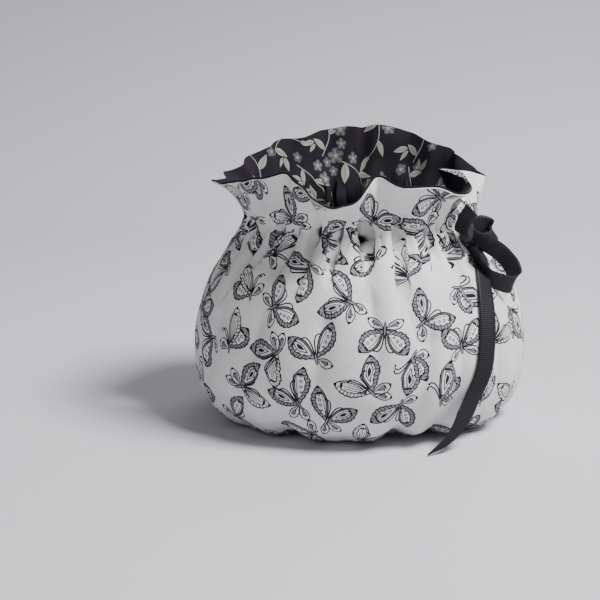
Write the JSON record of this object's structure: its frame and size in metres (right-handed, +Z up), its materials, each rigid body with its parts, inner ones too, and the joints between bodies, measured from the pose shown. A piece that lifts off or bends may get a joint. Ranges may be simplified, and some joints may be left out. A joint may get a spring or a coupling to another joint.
{
  "type": "tea cosy",
  "caption": "Gathered cloth tea cosy with an open frill, dark floral lining, side openings and a ribbon bow.",
  "frame": {"origin": "middle of the base, on the surface that the hem stands on", "axes": "+Z up, -Y the front, +X the side with the bow"},
  "size_m": [0.1934, 0.181, 0.1629],
  "materials": {
    "cover_cloth": "white cotton printed with dark line butterflies",
    "lining_cloth": "near-black cotton printed with pale leaves and blossoms",
    "ribbon_cloth": "black ribbed ribbon, soft sheen"
  },
  "bodies": {
    "root": {"cover_front": "cover_cloth", "cover_back": "cover_cloth", "lining_front": "lining_cloth", "lining_back": "lining_cloth", "ribbon_tie": "ribbon_cloth"}
  },
  "joints": []
}
